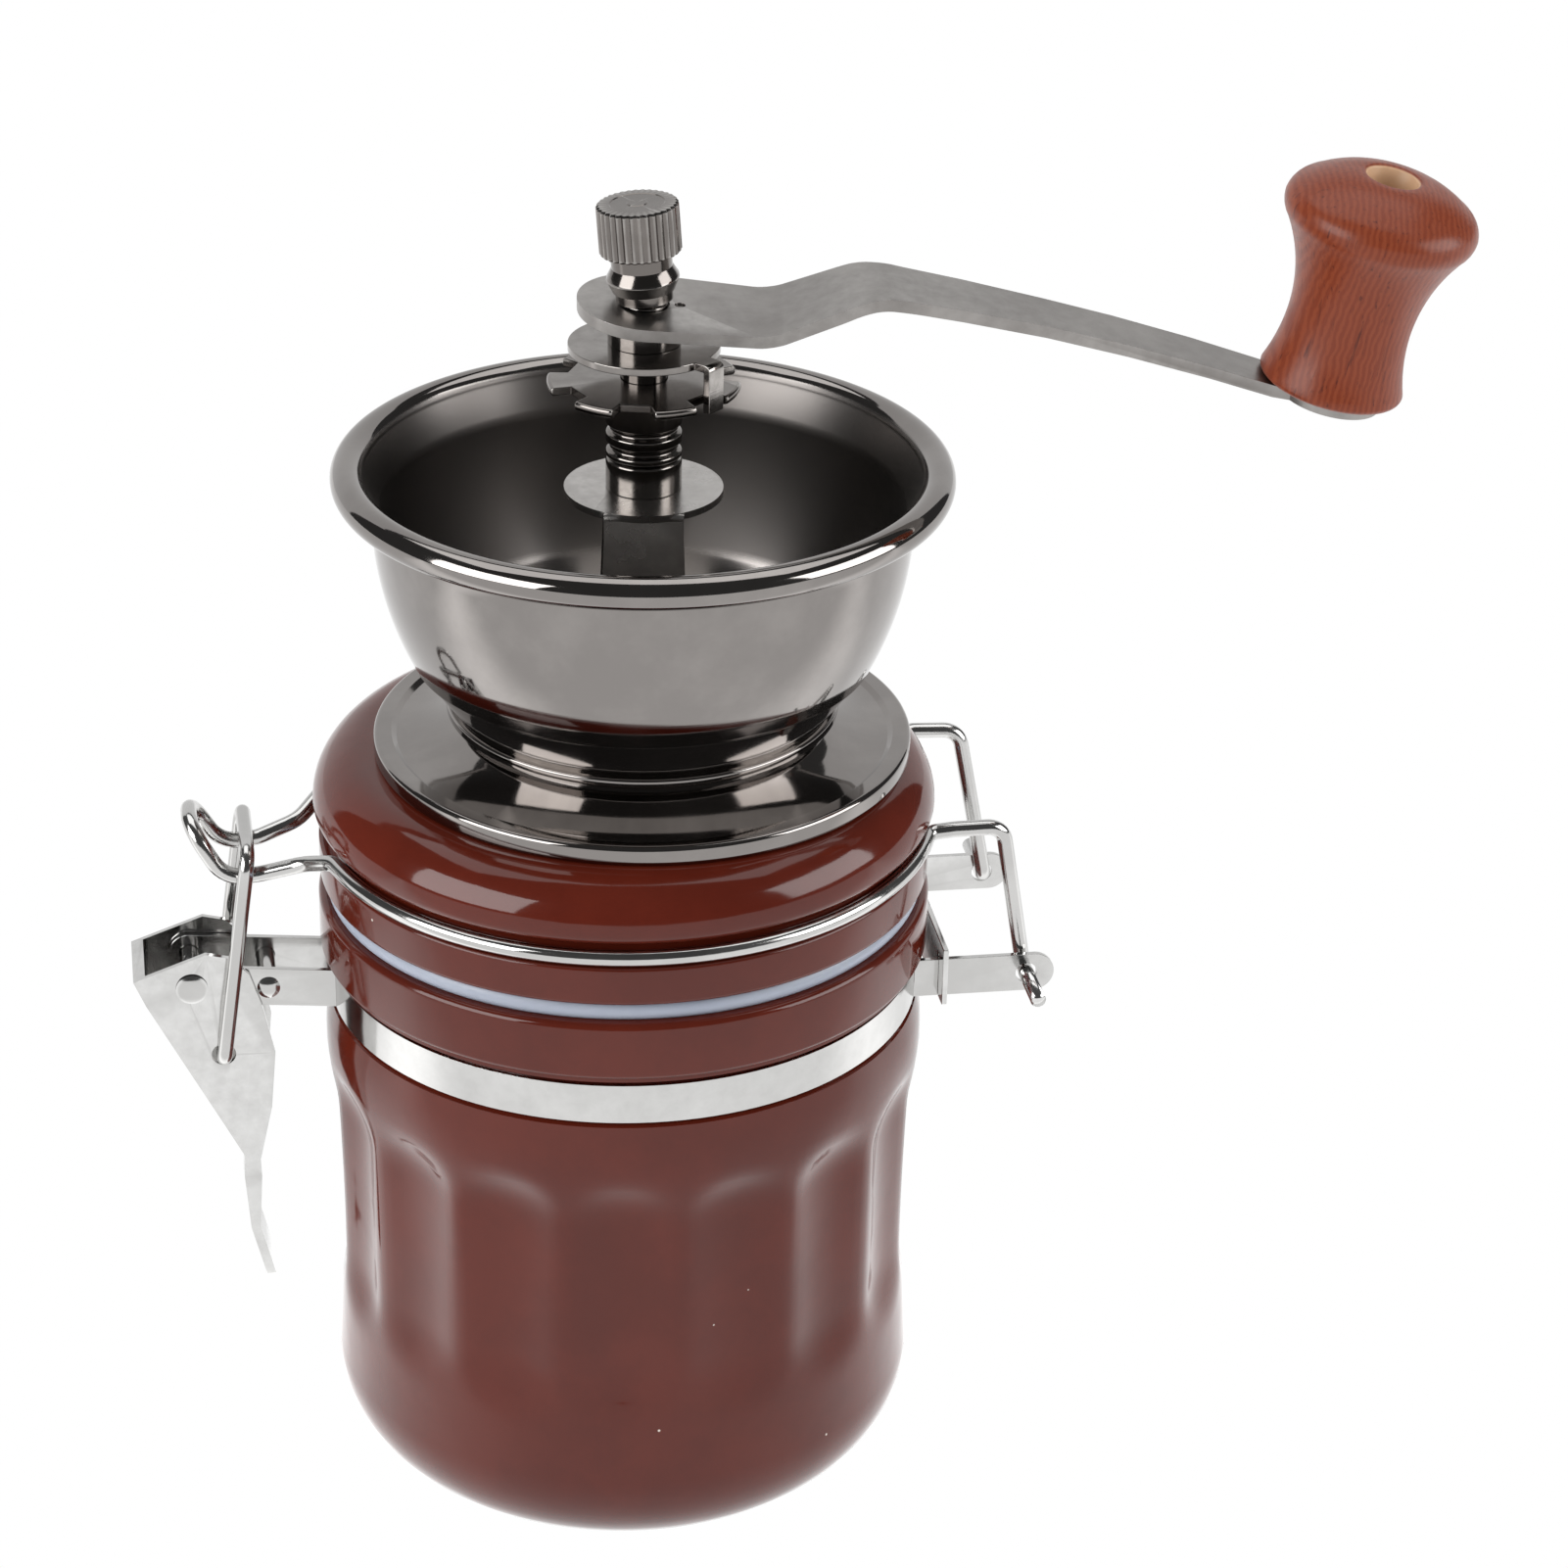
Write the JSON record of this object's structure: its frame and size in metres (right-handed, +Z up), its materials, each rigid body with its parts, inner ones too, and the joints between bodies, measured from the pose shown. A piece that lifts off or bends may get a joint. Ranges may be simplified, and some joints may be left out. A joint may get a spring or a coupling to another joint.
{
  "type": "manual coffee grinder",
  "caption": "Hand-cranked coffee mill with an open metal hopper and side crank on the clamped lid of a fluted glazed jar.",
  "frame": {"origin": "centre of the jar's flat foot, on the table", "axes": "+Z up along the jar's axis; +X from the clasp towards the lid's hinge; +Y away from the viewer"},
  "size_m": [0.2035, 0.099, 0.2195],
  "materials": {
    "red_glaze": "rich red-brown gloss glaze",
    "stainless": "bright drawn stainless wire and strip",
    "silicone": "translucent bluish grey silicone",
    "black_nickel": "mirror-like black nickel plating",
    "dark_plating": "black nickel plating, slightly satin",
    "arm_steel": "satin dark plating with a faint heat tint",
    "burr_iron": "dark cast iron",
    "fastener_steel": "zinc plated steel",
    "stained_wood": "turned beech, red-brown stain, satin varnish"
  },
  "bodies": {
    "jar": {"jar_body": "red_glaze", "strap_front": "stainless", "strap_back": "stainless", "hinge_retainer": "stainless", "clasp_spacer_rivet": "stainless", "clasp_pivot_rivet": "stainless"},
    "lid": {"lid": "red_glaze", "lid_gasket": "silicone", "lid_bail": "stainless", "hopper_base": "black_nickel", "hopper_bowl": "black_nickel", "burr_housing": "burr_iron", "mounting_screws": "fastener_steel", "bearing_spider": "burr_iron", "outer_burr": "burr_iron", "bearing_bridge": "dark_plating", "bridge_screws": "fastener_steel", "bridge_bushing": "dark_plating"},
    "crank": {"main_shaft": "dark_plating", "inner_burr": "burr_iron", "thrust_washer": "fastener_steel", "shaft_nut": "fastener_steel", "burr_spring": "fastener_steel", "star_wheel": "dark_plating", "lock_washer": "dark_plating", "arm_spacer": "dark_plating", "crank_arm": "arm_steel", "thumb_nut": "dark_plating", "knob_pin": "fastener_steel"},
    "knob": {"knob": "stained_wood"},
    "clasp_lever": {"clasp_lever": "stainless"},
    "clasp_loop": {"clasp_loop": "stainless"}
  },
  "joints": [
    {"name": "lid_hinge", "type": "hinge", "parent": "jar", "child": "lid", "pos_m": [0.0631, 0, 0.0864], "axis": [0, 1, 0], "range_deg": [0, 90]},
    {"name": "crank_spin", "type": "hinge", "parent": "lid", "child": "crank", "pos_m": [0.00278, -0.00036, 0.17305], "axis": [0, 0, 1], "continuous": true},
    {"name": "knob_spin", "type": "hinge", "parent": "crank", "child": "knob", "pos_m": [0.10582, -0.01291, 0.18467], "axis": [0.1757, -0.1009, 0.9793], "continuous": true},
    {"name": "clasp_pivot", "type": "hinge", "parent": "jar", "child": "clasp_lever", "pos_m": [-0.0692, 0, 0.0888], "axis": [0, 1, 0], "range_deg": [0, 115]},
    {"name": "loop_swing", "type": "hinge", "parent": "clasp_lever", "child": "clasp_loop", "pos_m": [-0.0647, 0, 0.0766], "axis": [0, 1, 0], "range_deg": [-81.65, 0]}
  ],
  "couplings": [
    {"joint": "loop_swing", "follows": "clasp_pivot", "ratio": -0.71}
  ]
}
